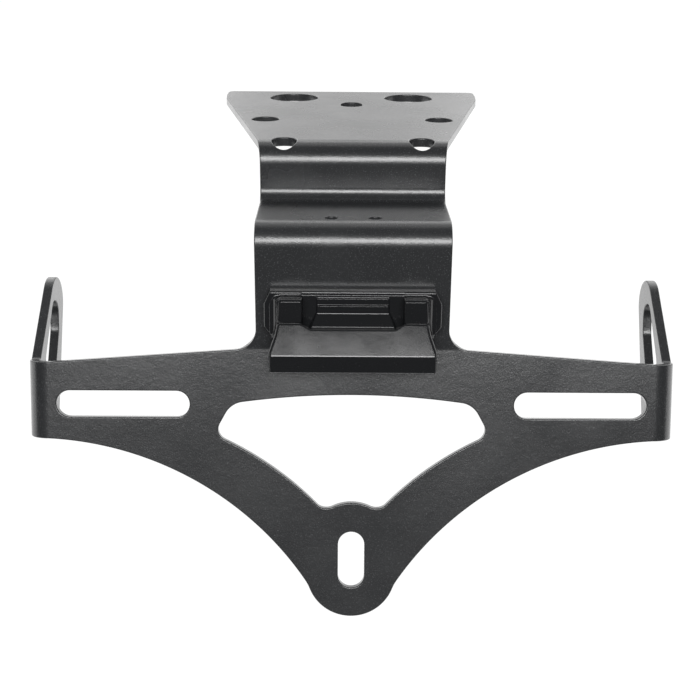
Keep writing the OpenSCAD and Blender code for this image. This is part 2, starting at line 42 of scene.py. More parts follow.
# ---------------------------------------------------------------- sizes, mm
T = 2.5                      # sheet thickness
H = T / 2                    # from the sheet's middle to either face
RI, RM, RO = 3.5, 4.75, 6.0  # inner, middle and outer radius of every fold
STEP, RISER = 27.8, 15.5     # depth of the step and height of the riser
FOLD = 48.6                  # depth of the shallow fold below the top plate
OY = 65.8                    # depth between the stem's front face and the tail bolts
TILT = math.radians(13.8)    # lean of the number plate's face
EDGE_R = 0.34                # rounding that the coat gives each edge
STRIP = 25.3                 # half the width of stem, step and riser
FLAT = 79.8                  # where the ear's fold starts
WING_FROM = 40               # farther out, the lower part lies in the number plate's plane
Q = RM * math.pi / 2         # length of a full fold along the sheet's middle

# lengths along the sheet's middle, from the middle of the shallow fold upward
V_STEM = 0.572               # half the length of the shallow fold
TURN = 0.424                 # half its height on the outline
V_GAIN = 0.148               # by how much a length exceeds its height beyond the fold
# the three full folds run from V_B to V_C, from V_D to V_E and from V_F to V_G
V_B = V_STEM + FOLD - TURN - RISER - RO
V_C = V_B + Q
V_D = V_C + 18.3             # the flat of the step lies between
V_E = V_D + Q
V_F = V_E + 6.0              # and here the flat of the riser
V_G = V_F + Q


# ------------------------------------------------- from the flat sheet to 3D
def spine(v):
    """Y, Z and slope of the sheet's middle, by the length along it."""
    y, z, a = np.zeros_like(v), np.zeros_like(v), np.zeros_like(v)
    k = v < -V_STEM
    up = v[k] + V_STEM - TURN
    y[k] = H * math.cos(TILT) + up * math.sin(TILT)
    z[k] = -FOLD - H * math.sin(TILT) + up * math.cos(TILT)
    a[k] = TILT
    k = (v >= -V_STEM) & (v < V_STEM)
    f = (V_STEM - v[k]) / (2 * V_STEM) * TILT
    y[k], z[k], a[k] = -RI + RM * np.cos(f), -FOLD + TURN - RM * np.sin(f), f
    k = (v >= V_STEM) & (v < V_B)
    y[k], z[k] = H, -FOLD + TURN + v[k] - V_STEM
    k = (v >= V_B) & (v < V_C)
    f = (v[k] - V_B) / RM
    y[k], z[k], a[k] = RO - RM * np.cos(f), -RISER - RO + RM * np.sin(f), f
    k = (v >= V_C) & (v < V_D)
    y[k], z[k], a[k] = RO + v[k] - V_C, -RISER - H, math.pi / 2
    k = (v >= V_D) & (v < V_E)
    f = (v[k] - V_D) / RM
    y[k], z[k], a[k] = STEP - RI + RM * np.sin(f), -RISER + RI - RM * np.cos(f), math.pi / 2 - f
    k = (v >= V_E) & (v < V_F)
    y[k], z[k] = STEP + H, -RISER + RI + v[k] - V_E
    k = (v >= V_F) & (v < V_G)
    f = (v[k] - V_F) / RM
    y[k], z[k], a[k] = STEP + RO - RM * np.cos(f), -RO + RM * np.sin(f), f
    k = v >= V_G
    y[k], z[k], a[k] = STEP + RO + v[k] - V_G, -H, math.pi / 2
    return y, z, a


def place(u, v, h, nu, nv, nh):
    """Points and normals in the part's frame, in millimetres.

    u is the distance from the middle, v the length along the sheet, h the height
    above its middle, and nu, nv, nh are the normal's shares in those directions.
    """
    u, v, h = (np.asarray(t, float) for t in (u, v, h))
    side = np.sign(u)
    au = np.abs(u)
    ear = au > FLAT
    # above the shallow fold, the wings still lie in the number plate's plane
    wing = (au > WING_FROM) & (v < 20)
    vv = np.where(wing, np.minimum(v, -V_STEM - 1e-6), v)
    y, z, a = spine(vv)
    dv = np.where(wing, v - vv, 0)
    tv = np.stack([np.zeros_like(a), np.sin(a), np.cos(a)], 1)
    tn = np.stack([np.zeros_like(a), -np.cos(a), np.sin(a)], 1)
    mid = np.stack([u, y, z], 1) + tv * dv[:, None]
    tu = np.tile([1.0, 0, 0], (len(u), 1))
    pos = mid + tn * h[:, None]
    if ear.any():
        s = au - FLAT
        f = np.clip(s / RM, 0, math.pi / 2)
        run = np.maximum(s - Q, 0)
        back = -tn
        x = FLAT + (RM + h) * np.sin(f)
        b = RM - (RM + h) * np.cos(f) + run
        e = np.stack([side * x, y, z], 1) + tv * dv[:, None] + back * b[:, None]
        pos = np.where(ear[:, None], e, pos)
        eu = np.stack([side * np.cos(f), 0 * f, 0 * f], 1) + back * np.sin(f)[:, None]
        eu = eu * side[:, None]
        en = tn * np.cos(f)[:, None] + np.stack([side * np.sin(f), 0 * f, 0 * f], 1)
        tu = np.where(ear[:, None], eu, tu)
        tn = np.where(ear[:, None], en, tn)
    nor = tu * np.asarray(nu)[:, None] + tv * np.asarray(nv)[:, None] + tn * np.asarray(nh)[:, None]
    pos = pos - np.array([0, OY, 0])
    return pos, nor


# ------------------------------------------------------- outlines, flat sheet
def line(p, q, step):
    n = max(1, int(math.ceil(math.dist(p, q) / step)))
    return [(p[0] + (q[0] - p[0]) * i / n, p[1] + (q[1] - p[1]) * i / n) for i in range(n)]


def arc(c, r, a0, a1, step):
    n = max(2, int(math.ceil(abs(a1 - a0) * r / step)))
    turns = [a0 + (a1 - a0) * i / n for i in range(n)]
    return [(c[0] + r * math.cos(a), c[1] + r * math.sin(a)) for a in turns]


def circle(c, r, step=0.5):
    return arc(c, r, 0, 2 * math.pi, step)


def slot_loop(c, half, r, angle, step=0.6):
    d = (math.cos(angle), math.sin(angle))
    p, q = (c[0] + d[0] * half, c[1] + d[1] * half), (c[0] - d[0] * half, c[1] - d[1] * half)
    a = angle - math.pi / 2
    out = arc(p, r, a, a + math.pi, step)
    out += line((p[0] - d[1] * r, p[1] + d[0] * r), (q[0] - d[1] * r, q[1] + d[0] * r), 1.2)
    out += arc(q, r, a + math.pi, a + 2 * math.pi, step)
    out += line((q[0] + d[1] * r, q[1] - d[0] * r), (p[0] + d[1] * r, p[1] - d[0] * r), 1.2)
    return out


def round_corners(path, corners):
    """Rounds the vertices of a closed path that lie at the given points."""
    P = [np.array(p, float) for p in path]
    for c, r in corners:
        i = min(range(len(P)), key=lambda j: (P[j][0] - c[0]) ** 2 + (P[j][1] - c[1]) ** 2)
        P = P[i:] + P[:i]
        n = len(P)
        din, dout = P[0] - P[-1], P[1] - P[0]
        din, dout = din / np.linalg.norm(din), dout / np.linalg.norm(dout)
        turn = math.acos(max(-1, min(1, float(din @ dout))))
        t = r * math.tan(turn / 2)

        def walk(step):
            left, j, prev = t, 0, P[0]
            while True:
                j += step
                nxt = P[j % n]
                d = np.linalg.norm(nxt - prev)
                if d >= left:
                    return prev + (nxt - prev) * left / d, (nxt - prev) / d, j
                left, prev = left - d, nxt

        B, db, jb = walk(1)
        A, da, ja = walk(-1)
        k = 4 / 3 * math.tan(turn / 4) * r
        c1, c2 = A - da * k, B - db * k
        m = max(3, int(turn * r / 0.35))
        bez = []
        for i2 in range(m + 1):
            s = i2 / m
            near, far = 3 * s * (1 - s) ** 2, 3 * s * s * (1 - s)
            bez.append((1 - s) ** 3 * A + near * c1 + far * c2 + s ** 3 * B)
        P = bez + P[jb:n + ja + 1]
    return P


def to_v(y):
    """Length along the sheet for a height on the flat outline."""
    if y >= TURN:
        return y + V_GAIN
    if y <= -TURN:
        return y - V_GAIN
    return y * V_STEM / TURN


def plate_v(y):
    """Length along the sheet for a distance behind the stem on the top plate."""
    return V_G + y - STEP - RO


def ear_s(b):
    """Length along the wing for a distance behind its face."""
    if b >= RO:
        return FLAT + Q + b - RO
    return FLAT + RM * math.acos(min(1, (RO - b) / RM))


def mirror(points):
    return [(-x, y) for x, y in reversed(points)]


WING_LOW, WING_DROP = -24.4, -4.0  # lower and upper edge of the wings at the ears' folds
ARM_R, ARM_W = 86.5, 15.7          # radius of the arms' lower curve and their width
ARM_C = (84.15, WING_LOW - math.sqrt(ARM_R ** 2 - 4.35 ** 2))
SHIFT = math.radians(31.7)         # direction in which the window's curve is moved
INNER_C = (ARM_C[0] - ARM_W * math.cos(SHIFT), ARM_C[1] + ARM_W * math.sin(SHIFT))
LUG_R, LUG_TOP, LUG_LOW = 11.9, -53.3, -60.6
WINDOW_W, WINDOW_TOP = 63.8, -12.4
WINDOW_SIDE = 36.5                 # half the window's width where its lower curve starts
WINDOW_RADII = (6.0, 3.0, 3.0)     # its corners: upper, lower and at the lug
# centre and radius of the ear's round end, its slope and its taper
EAR = ((27.5, 9.4), 7.3, math.radians(63.3), math.radians(13.0))
# the slot in an ear: its corners as distance behind the wing face and height
EAR_SLOT = [
    (13, 10.2 - 9.5 * math.tan(math.radians(57))), (22.5, 10.2), (28.6, 10.2),
    (28.6, 1.6), (28.6 - 14.3 / math.tan(math.radians(66)), -12.7), (13, -12.7),
]
EAR_SLOT_R = 3.8
# the right half of the top plate's outline: distance from the middle, and behind the stem
TOP_PLATE = [(26.3, 33.8), (41.1, 106.0), (41.6, 113.0), (41.6, 121.0), (0, 121.0)]
CABLE_X = 18.85                    # the large holes and the fold's holes lie this far out
FOLD_HOLE_R, FOLD_HOLE_Y = 3.45, 5.1
FOLD_HOLE_END = 0.29               # angle in the fold to which its back rim reaches
WING_ROOT = -0.5                   # height of the wings' upper edge beside the stem
SLOPE = (-WING_DROP + WING_ROOT) / (FLAT - STRIP - RO)


def taper(shape):
    """Where the round of a tapered shape turns into its front and its back edge."""
    c, r, a, t = shape
    f = (-math.sin(a - t), math.cos(a - t))
    b = (math.sin(a + t), -math.cos(a + t))
    return (c[0] + f[0] * r, c[1] + f[1] * r), (c[0] + b[0] * r, c[1] + b[1] * r)


def rounded(corners, r):
    """A polygon with round corners, followed clockwise."""
    out = []
    for i, (x, y) in enumerate(corners):
        ins = np.subtract((x, y), corners[i - 1])
        outs = np.subtract(corners[(i + 1) % len(corners)], (x, y))
        a0, a1 = math.atan2(ins[1], ins[0]), math.atan2(outs[1], outs[0])
        turn = (a0 - a1) % (2 * math.pi)
        reach = r * math.tan(turn / 2)
        p0 = np.array((x, y)) - ins / np.hypot(*ins) * reach
        c = p0 + r * np.array((math.sin(a0), -math.cos(a0)))
        n = max(3, int(r * turn / 0.6))
        for k in range(n + 1):
            a = a0 + math.pi / 2 - turn * k / n
            out.append((c[0] + r * math.cos(a), c[1] + r * math.sin(a)))
    closed = out + out[:1]
    full = []
    for p, q in zip(closed, closed[1:]):
        full += line(p, q, 1.0)
    return full


def arc_y(c, x):
    return c[1] + math.sqrt(ARM_R ** 2 - (c[0] - x) ** 2)


def wing_y(x):
    return WING_ROOT - SLOPE * (x - STRIP - RO)


def meet(c, y0, x0, x1):
    """Where the arc about c crosses the lug's round about (0, y0)."""
    for _ in range(60):
        xm = (x0 + x1) / 2
        if math.hypot(xm, arc_y(c, xm) - y0) < LUG_R:
            x0 = xm
        else:
            x1 = xm
    return xm


def sheet_v(x, y):
    """Length along the sheet for a point of the outline below the step."""
    return to_v(y) if x < WING_FROM else y - V_GAIN


def outer_loop():
    xj = meet(ARM_C, LUG_LOW, 10.0, 14.0)
    pj = (xj, arc_y(ARM_C, xj))
    a1 = math.atan2(pj[1] - LUG_LOW, pj[0])
    half = arc((0, LUG_LOW), LUG_R, -math.pi / 2, a1, 0.7)
    n = 90
    arm_x = [xj + (FLAT - xj) * i / n for i in range(n)]
    half += [(x, arc_y(ARM_C, x)) for x in arm_x]
    front, back = taper(EAR)
    centre, radius, slope, spread = EAR
    af, ab = slope - spread, slope + spread
    bent = ear_s(RO)
    # where the ear's edges meet the lower edge and the upper edge of the wing
    low_end = ear_s(back[0] - (back[1] - WING_LOW) / math.tan(ab))
    top_end = ear_s(front[0] - (front[1] - WING_DROP) / math.tan(af))
    half += line((FLAT, WING_LOW), (bent, WING_LOW), 0.6)
    half += line((bent, WING_LOW), (low_end, WING_LOW), 0.8)
    half += line((low_end, WING_LOW), (ear_s(back[0]), back[1]), 1.0)
    tip = arc(centre, radius, ab - math.pi / 2, af + math.pi / 2, 0.6)
    half += [(bent + x - RO, y) for x, y in tip]
    half += line((ear_s(front[0]), front[1]), (top_end, WING_DROP), 0.8)
    half += line((top_end, WING_DROP), (bent, WING_DROP), 0.5)
    half += line((bent, WING_DROP), (FLAT, WING_DROP), 0.6)
    corner = (STRIP, wing_y(STRIP))
    half += line((FLAT, WING_DROP), corner, 1.6)
    half += line(corner, (STRIP, 12), 0.5)
    corners = [(pj, 9.0), ((low_end, WING_LOW), 4.0), ((top_end, WING_DROP), 0.9), (corner, 6.0)]
    # heights become lengths along the sheet
    flat = [(x, sheet_v(x, y)) for x, y in half]
    corners = [((x, sheet_v(x, y)), r) for (x, y), r in corners]
    rows = []
    v0 = to_v(12)
    for v1, step in ((V_B, 1.6), (V_C, 0.5), (V_D, 1.6), (V_E, 0.5), (V_F, 1.0)):
        rows += line((STRIP, v0), (STRIP, v1), step)
        v0 = v1
    # the strip grows 1 mm wider on each side along its first fold
    for i in range(15):
        f = math.pi / 2 * i / 15
        rows.append((STRIP + 1.0 * (1 - math.cos(f)), V_F + RM * f))
    plate = [(x, plate_v(y)) for x, y in TOP_PLATE]
    for a, b in zip(plate, plate[1:]):
        rows += line(a, b, 1.6)
    corners += [(plate[3], 2.2), (plate[1], 6.0)]
    half = flat + rows + [plate[-1]]
    both = corners + [((-x, y), r) for (x, y), r in corners]
    return round_corners(half + mirror(half[1:-1]), both)


def window_loop():
    w = WINDOW_W / 2
    top = [(x, WINDOW_TOP - x ** 2 / 420) for x in (-w + WINDOW_W * i / 50 for i in range(51))]
    xj = meet(INNER_C, LUG_TOP, 2.0, 20.0)
    pj = (xj, arc_y(INNER_C, xj))
    upper, lower = (w, top[-1][1]), (WINDOW_SIDE, arc_y(INNER_C, WINDOW_SIDE))
    right = line(upper, lower, 0.7)[1:]
    arm_x = [WINDOW_SIDE + (xj - WINDOW_SIDE) * i / 40 for i in range(40)]
    right += [(x, arc_y(INNER_C, x)) for x in arm_x]
    a = math.atan2(pj[1] - LUG_TOP, pj[0])
    cap = arc((0, LUG_TOP), LUG_R, a, math.pi - a, 0.7) + [(-pj[0], pj[1])]
    full = [(x, to_v(y)) for x, y in top + right + cap + mirror(right)]
    corners = []
    for (x, y), r in zip((upper, lower, pj), WINDOW_RADII):
        corners += [((x, to_v(y)), r), ((-x, to_v(y)), r)]
    return round_corners(full, corners)


def fold_hole(s):
    """The hole that runs into the first fold. It is upright, so its two rims differ."""
    front, back = [], []
    for i in range(44):
        a = 2 * math.pi * i / 44
        x = s * CABLE_X + FOLD_HOLE_R * math.cos(a)
        y = STEP + FOLD_HOLE_Y + FOLD_HOLE_R * math.sin(a)
        if y >= STEP + RO:
            front.append((x, plate_v(y)))
            back.append((x, plate_v(y)))
        else:
            c = math.acos(min(math.cos(FOLD_HOLE_END), (STEP + RO - y) / RI))
            front.append((x, V_F + RM * math.acos((STEP + RO - y) / RO)))
            back.append((x, V_F + RM * c))
    return front, back


def hole_loops():
    """Each entry is the hole's rim on the front face and on the back face."""
    out = []

    def add(front, back=None):
        out.append((np.array(front, float), np.array(back if back is not None else front, float)))

    ear_slot = [(ear_s(x), y - V_GAIN) for x, y in rounded(EAR_SLOT, EAR_SLOT_R)]
    for s in (-1, 1):
        add(circle((s * 25.9, plate_v(65.8)), 4.1))
        add(circle((s * CABLE_X, plate_v(107.6)), 7.85, 0.7))
        add(circle((s * 5.7, V_C + 2.2), 1.6, 0.3))
        add(circle((s * 15.4, to_v(11.1)), 2.15, 0.4))
        add(slot_loop((s * 60.3, -15.0 - V_GAIN), 14, 3.5, 0))
        add([(s * x, y) for x, y in ear_slot])
        add(*fold_hole(s))
    add(circle((0, to_v(11.1)), 3.8))
    add(slot_loop((0, plate_v(93.9)), 1.0, 3.4, math.pi / 2))
    add(slot_loop((0, -56.95 - V_GAIN), 4.15, 3.5, math.pi / 2))
    add(window_loop())
    return out


def area2(p):
    x, y = p[:, 0], p[:, 1]
    return float(np.sum(x * np.roll(y, -1) - np.roll(x, -1) * y))


def into(p):
    """For each vertex, the mitred direction into the sheet (loops run with it on their left)."""
    d = np.roll(p, -1, 0) - p
    d /= np.linalg.norm(d, axis=1)[:, None]
    n = np.stack([-d[:, 1], d[:, 0]], 1)
    m = n + np.roll(n, 1, 0)
    unit = m / np.linalg.norm(m, axis=1)[:, None]
    return unit / np.maximum(0.5, (unit * n).sum(1))[:, None], unit


def clean(p, least=0.06):
    """The numbers of the vertices that remain when those too close together go."""
    keep = [0]
    for i in range(1, len(p)):
        if np.linalg.norm(p[i] - p[keep[-1]]) > least:
            keep.append(i)
    if np.linalg.norm(p[keep[-1]] - p[keep[0]]) <= least:
        keep.pop()
    return keep


CHUNK = 3000                 # points that are worked on at a time


def inside(pts, loops):
    """For each point, whether an odd number of edges lies to its right."""
    res = np.zeros(len(pts), bool)
    for p in loops:
        x0, y0 = p[:, 0], p[:, 1]
        x1, y1 = np.roll(x0, -1), np.roll(y0, -1)
        for lo in range(0, len(pts), CHUNK):
            q = pts[lo:lo + CHUNK]
            c = (y0[None] > q[:, 1:]) != (y1[None] > q[:, 1:])
            with np.errstate(divide="ignore", invalid="ignore"):
                xi = x0[None] + (q[:, 1:] - y0[None]) * (x1 - x0)[None] / (y1 - y0)[None]
            res[lo:lo + CHUNK] ^= (c & (q[:, :1] < xi)).sum(1) % 2 == 1
    return res


def fill_points():
    """Points inside the outline: close together in the folds, far apart elsewhere."""
    pts = []
    xs = np.arange(-27.6, 27.7, 1.5)
    for v0, v1, n in ((V_B, V_C, 14), (V_D, V_E, 14), (V_F, V_G, 14), (-V_STEM, V_STEM, 4)):
        for k in range(n + 1):
            pts += [(x, v0 + (v1 - v0) * k / n) for x in xs]
    for k in range(15):
        s = FLAT + Q * k / 14
        for y in np.arange(-25, 3, 1.5):
            pts += [(s, y), (-s, y)]
    bends = ((V_B, V_C), (V_D, V_E), (V_F, V_G), (-1, 1))
    for x in np.arange(-122, 122.1, 5.5):
        for y in np.arange(-72, 160, 5.5):
            bend = any(a - 1.5 < y < b + 1.5 and abs(x) < 30 for a, b in bends)
            ear = FLAT - 1.5 < abs(x) < FLAT + Q + 1.5 and y < 4
            if not bend and not ear:
                pts.append((x, y))
    return np.array(pts)


def thin_out(pts, border, least):
    """The points that keep at least that distance from the border's points."""
    d = np.full(len(pts), 1e9)
    for lo in range(0, len(pts), CHUNK):
        q = pts[lo:lo + CHUNK]
        d[lo:lo + CHUNK] = np.sqrt(((q[:, None] - border[None]) ** 2).sum(2)).min(1)
    return pts[d > least]


def bracket_mesh():
    loops = []
    p = np.array(outer_loop(), float)
    loops.append([p, p])
    loops += [[f, b] for f, b in hole_loops()]
    for i, (f, b) in enumerate(loops):
        k = clean(f)
        f, b = f[k], b[k]
        if (area2(f) > 0) != (i == 0):
            f, b = f[::-1], b[::-1]
        loops[i] = [f, b]
    pos, nor, faces = [], [], []
    count = 0
    # rings around each edge: distance into the sheet, height, and the normal's two parts
    rings = []
    for a in (math.radians(t) for t in (0, 22.5, 45, 67.5, 90)):
        s, c = math.sin(a), math.cos(a)
        rings.append((EDGE_R * (1 - s), H - EDGE_R * (1 - c), s, c))
    rings += [(e, -h, s, -c) for e, h, s, c in reversed(rings)]
    start = {}
    edge_in = {"f": [], "b": []}
    for i, (f, b) in enumerate(loops):
        mf, uf = into(f)
        mb, ub = into(b)
        n = len(f)
        for k, (e, h, s, c) in enumerate(rings):
            w = (h + H) / T
            base = f * w + b * (1 - w)
            m, unit = mf * w + mb * (1 - w), uf * w + ub * (1 - w)
            q = base + m * e
            out = -unit * s
            a, nn = place(q[:, 0], q[:, 1], np.full(n, h), out[:, 0], out[:, 1], np.full(n, c))
            pos.append(a)
            nor.append(nn)
            start[i, k] = count
            count += n
            if k == 0:
                edge_in["f"].append(q)
            if k == len(rings) - 1:
                edge_in["b"].append(q)
        for k in range(len(rings) - 1):
            s0, s1 = start[i, k], start[i, k + 1]
            for j in range(n):
                j2 = (j + 1) % n
                faces.append((s0 + j, s1 + j, s1 + j2, s0 + j2))
    fill = fill_points()
    for key, h, last in (("f", H, 0), ("b", -H, len(rings) - 1)):
        ls = edge_in[key]
        border = np.vstack(ls)
        pts = fill[inside(fill, ls)]
        pts = thin_out(pts, border, 0.45)
        allp = np.vstack([border, pts])
        edges, o = [], 0
        for p in ls:
            n = len(p)
            edges += [(o + j, o + (j + 1) % n) for j in range(n)]
            o += n
        vo, _, fo, ov, _, _ = delaunay_2d_cdt([Vector(t) for t in allp], edges, [], 0, 1e-7, True)
        vo = np.array([(t.x, t.y) for t in vo])
        fo = np.array([tuple(t) for t in fo])
        # the rim's own vertices keep their numbers, the others are new
        index = np.full(len(vo), -1)
        owner = []
        for i, p in enumerate(ls):
            owner += [start[i, last] + j for j in range(len(p))]
        for j, origin in enumerate(ov):
            r = [t for t in origin if t < len(owner)]
            if r:
                index[j] = owner[r[0]]
        new = np.where(index < 0)[0]
        index[new] = count + np.arange(len(new))
        zero = np.zeros(len(new))
        a, nn = place(vo[new, 0], vo[new, 1], zero + h, zero, zero, zero + np.sign(h))
        pos.append(a)
        nor.append(nn)
        count += len(new)
        mid = vo[fo].mean(1)
        ok = inside(mid, ls)
        ab, ac = vo[fo[:, 1]] - vo[fo[:, 0]], vo[fo[:, 2]] - vo[fo[:, 0]]
        cr = ab[:, 0] * ac[:, 1] - ab[:, 1] * ac[:, 0]
        ok &= np.abs(cr) > 1e-9
        for tri, c in zip(fo[ok], cr[ok]):
            g = tuple(int(index[x]) for x in tri)
            if (c > 0) != (h > 0):
                g = g[::-1]
            faces.append(g)
    return np.vstack(pos), np.vstack(nor), faces


def make(name, pos, nor, faces, material, scale=0.001):
    me = bpy.data.meshes.new(name)
    me.from_pydata([tuple(p) for p in np.asarray(pos) * scale], [], faces)
    me.update()
    for p in me.polygons:
        p.use_smooth = True
    if nor is not None:
        n = nor / np.maximum(1e-9, np.linalg.norm(nor, axis=1))[:, None]
        me.normals_split_custom_set_from_vertices([tuple(t) for t in n])
    ob = bpy.data.objects.new(name, me)
    scene.collection.objects.link(ob)
    me.materials.append(material)
    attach(ob, "root")
    return ob


# ------------------------------------------------------------------ materials
def material(name):
    m = bpy.data.materials.new(name)
    m.use_nodes = True
    nt = m.node_tree
    return m, nt, nt.nodes["Principled BSDF"]


def node(nt, kind, values):
    """A new node with the given values of its inputs."""
    n = nt.nodes.new("ShaderNode" + kind)
    for k, v in values.items():
        n.inputs[k].default_value = v
    return n


def texture(nt, kind, **values):
    """A texture that is fixed to the object."""
    n = node(nt, "Tex" + kind, values)
    co = nt.nodes.new("ShaderNodeTexCoord")
    nt.links.new(co.outputs["Object"], n.inputs["Vector"])
    return n


def noise(nt, scale, detail, rough):
    return texture(nt, "Noise", Scale=scale, Detail=detail, Roughness=rough).outputs["Fac"]


def ramp(nt, source, lo, hi, a, b):
    n = node(nt, "MapRange", {"From Min": lo, "From Max": hi, "To Min": a, "To Max": b})
    nt.links.new(source, n.inputs["Value"])
    return n.outputs["Result"]


def mix_colour(nt, factor, a, b):
    n = nt.nodes.new("ShaderNodeMix")
    n.data_type = "RGBA"
    n.inputs["A"].default_value = (*a, 1)
    n.inputs["B"].default_value = (*b, 1)
    nt.links.new(factor, n.inputs["Factor"])
    return n.outputs["Result"]


def bump(nt, height, strength, distance, chain=None):
    n = node(nt, "Bump", {"Strength": strength, "Distance": distance})
    nt.links.new(height, n.inputs["Height"])
    if chain is not None:
        nt.links.new(chain, n.inputs["Normal"])
    return n.outputs["Normal"]


def dress(nt, b, colour, roughness, normal, values):
    """Links the shader's three main inputs and sets others."""
    for source, name in ((colour, "Base Color"), (roughness, "Roughness"), (normal, "Normal")):
        nt.links.new(source, b.inputs[name])
    for k, v in values.items():
        b.inputs[k].default_value = v


def powder_coat():
    m, nt, b = material("bracket_coat")
    speck = ramp(nt, noise(nt, 3400, 1.0, 0.5), 0.60, 0.74, 0.0, 1.0)
    colour = mix_colour(nt, speck, (0.022, 0.0228, 0.0242), (0.062, 0.064, 0.067))
    roughness = ramp(nt, noise(nt, 45, 3.0, 0.55), 0.3, 0.7, 0.23, 0.30)
    peel = bump(nt, noise(nt, 620, 2.0, 0.5), 0.28, 0.00010)
    grain = bump(nt, noise(nt, 2300, 2.0, 0.6), 0.42, 0.00006, peel)
    dress(nt, b, colour, roughness, grain, {"IOR": 1.55, "Specular IOR Level": 0.55})
    return m


def gloss_black():
    m, nt, b = material("lamp_black")
    dust = ramp(nt, noise(nt, 2600, 1.0, 0.5), 0.72, 0.84, 0.0, 1.0)
    colour = mix_colour(nt, dust, (0.010, 0.0105, 0.0115), (0.03, 0.03, 0.031))
    roughness = ramp(nt, noise(nt, 120, 2.0, 0.5), 0.3, 0.7, 0.13, 0.20)
    dress(nt, b, colour, roughness, bump(nt, noise(nt, 900, 2.0, 0.5), 0.10, 0.00006), {"IOR": 1.52})
    return m


def rubber():
    m, nt, b = material("black_rubber")
    n = noise(nt, 1800, 4.0, 0.6)
    colour = mix_colour(nt, n, (0.012, 0.012, 0.012), (0.03, 0.03, 0.029))
    dress(nt, b, colour, ramp(nt, n, 0.2, 0.8, 0.62, 0.82), bump(nt, n, 0.25, 0.00008), {})
    return m


def zinc(name, tint):
    m, nt, b = material(name)
    n = noise(nt, 700, 5.0, 0.6)
    cell = texture(nt, "Voronoi", Scale=900).outputs["Distance"]
    colour = mix_colour(nt, cell, tuple(0.78 * t for t in tint), tint)
    roughness = ramp(nt, n, 0.25, 0.75, 0.24, 0.42)
    dress(nt, b, colour, roughness, bump(nt, n, 0.15, 0.00005), {"Metallic": 1.0})
    return m


def lens_plastic():
    m, nt, b = material("clear_lens")
    wave = texture(nt, "Wave", Scale=260).outputs["Fac"]
    n = noise(nt, 300, 2.0, 0.5)
    colour = mix_colour(nt, n, (0.82, 0.86, 0.88), (0.93, 0.95, 0.96))
    roughness = ramp(nt, n, 0.3, 0.7, 0.03, 0.09)
    values = {"Transmission Weight": 0.9, "IOR": 1.49}
    dress(nt, b, colour, roughness, bump(nt, wave, 0.25, 0.0001), values)
    return m


def satin(name, a, c, r0, r1, scale=900):
    m, nt, b = material(name)
    n = noise(nt, scale, 3.0, 0.5)
    roughness = ramp(nt, n, 0.25, 0.75, r0, r1)
    dress(nt, b, mix_colour(nt, n, a, c), roughness, bump(nt, n, 0.12, 0.00005), {})
    return m


COAT, BLACK, RUBBER = powder_coat(), gloss_black(), rubber()
ZINC, SPRING = zinc("zinc_steel", (0.74, 0.75, 0.76)), zinc("spring_steel", (0.60, 0.60, 0.61))
LENS = lens_plastic()
TRAY = satin("tray_white", (0.80, 0.80, 0.78), (0.88, 0.88, 0.86), 0.38, 0.52)
BOARD = satin("board_green", (0.028, 0.13, 0.06), (0.045, 0.18, 0.085), 0.28, 0.40, 500)
LED = satin("led_yellow", (0.86, 0.72, 0.26), (0.93, 0.84, 0.42), 0.25, 0.40, 1500)


# ------------------------------------------------------------------- bracket
pos, nor, faces = bracket_mesh()
bracket = make("bracket_sheet", pos, nor, faces, COAT)
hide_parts("bracket")


# -------------------------------------------------------------- lamp housing
LZ = -31.8                   # height of the lamp's top edge in the part's frame


def poly_sdf(px, py, poly):
    """Signed distance from a polygon, negative inside."""
    P = np.array(poly, float)
    d = np.full(px.shape, 1e18)
    s = np.ones(px.shape)
    n = len(P)
    for i in range(n):
        a, b = P[i], P[i - 1]
        ex, ey = b[0] - a[0], b[1] - a[1]
        wx, wy = px - a[0], py - a[1]
        t = np.clip((wx * ex + wy * ey) / (ex * ex + ey * ey), 0, 1)
        bx, by = wx - ex * t, wy - ey * t
        d = np.minimum(d, bx * bx + by * by)
        c1, c2, c3 = py >= a[1], py < b[1], ex * wy > ey * wx
        s = np.where((c1 & c2 & c3) | (~c1 & ~c2 & ~c3), -s, s)
    return s * np.sqrt(d)


def both_in(a, b, r):
    """Where both shapes are, with their common edge rounded."""
    a, b = a + r, b + r
    return np.minimum(np.maximum(a, b), 0) + np.hypot(np.maximum(a, 0), np.maximum(b, 0)) - r


def either(a, b, r):
    """Where either shape is, with a fillet between them."""
    return np.maximum(r, np.minimum(a, b)) - np.hypot(np.maximum(r - a, 0), np.maximum(r - b, 0))


def cut(a, b, r):
    return both_in(a, -b, r)


def slab(v, lo, hi):
    return np.maximum(lo - v, v - hi)


def round_box(x, z, half_x, half_z, r):
    ex, ez = np.abs(x) - half_x + r, np.abs(z) - half_z + r
    return np.hypot(np.maximum(ex, 0), np.maximum(ez, 0)) + np.minimum(np.maximum(ex, ez), 0) - r


def sym(points):
    return points + mirror(points)


FLANGE = sym([(20.8, -15), (20.8, -12.6), (22.8, -9.6), (22.8, -3.4), (21.2, 0)])
HOOD_SIDE = [
    (-0.8, -1), (-7.35, -1), (-7.8, -1.5), (-7.8, -6.9), (-7.45, -7.2), (-7.95, -7.55),
    (-11.68, -14.5), (-11.8, -14.8), (-11.8, -19.1), (-11.4, -19.5), (-2.4, -19.5), (-0.8, -17.9),
]
HOOD_FRONT = sym([(21.25, -19.5), (21.25, -13.7), (19.85, -10), (19.2, -7.2), (18.8, -0.6)])
CHEEK = [
    (17.8, -3), (21.6, -3), (21.6, -4), (20.5, -4.3), (19.8, -4.9), (19.4, -5.8), (19.3, -7.2),
    (17.8, -7.2),
]
BLOCK_SIDE = [
    (-3, -1.7), (-4.3, -1.7), (-4.3, -3.3), (-4.9, -3.6), (-4.9, -5.5), (-7.4, -8.2), (-7.4, -12),
    (-3, -12),
]
